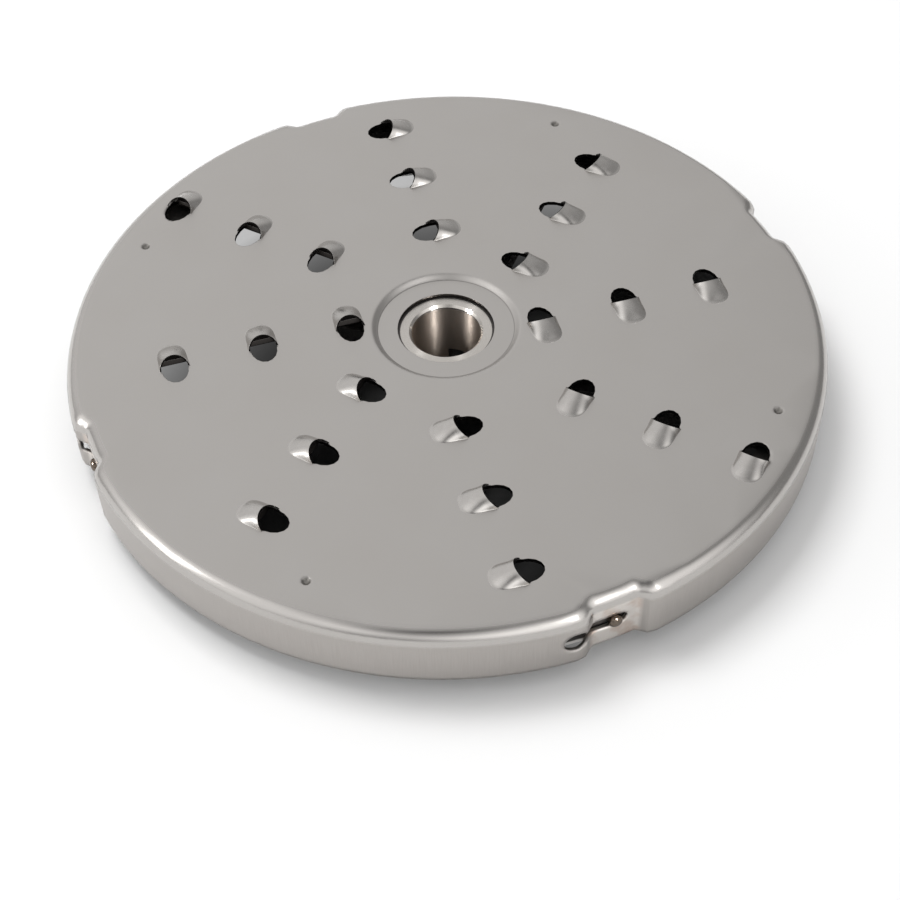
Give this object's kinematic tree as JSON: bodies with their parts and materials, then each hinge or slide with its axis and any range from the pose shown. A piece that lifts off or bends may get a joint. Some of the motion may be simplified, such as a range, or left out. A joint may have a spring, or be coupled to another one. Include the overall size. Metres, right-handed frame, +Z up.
{
  "type": "food processor grating disc",
  "caption": "Round stainless grating plate with rows of raised cutting teeth, locked by bayonet pins to a spoked carrier with a central drive bore.",
  "frame": {"origin": "centre of the hub's lower face, on which the disc stands", "axes": "+Z up along the drive bore towards the teeth; the carrier's arms lie along X and Y"},
  "size_m": [0.205, 0.205, 0.0267],
  "materials": {
    "satin_stainless_sheet": "satin",
    "cast_aluminium": "as cast",
    "turned_stainless": "turned",
    "ground_steel": "ground"
  },
  "bodies": {
    "root": {"grating_plate": "satin_stainless_sheet", "carrier": "cast_aluminium", "hub_bush": "turned_stainless", "bayonet_pin_1": "ground_steel", "bayonet_pin_2": "ground_steel", "bayonet_pin_3": "ground_steel", "bayonet_pin_4": "ground_steel"}
  },
  "joints": []
}
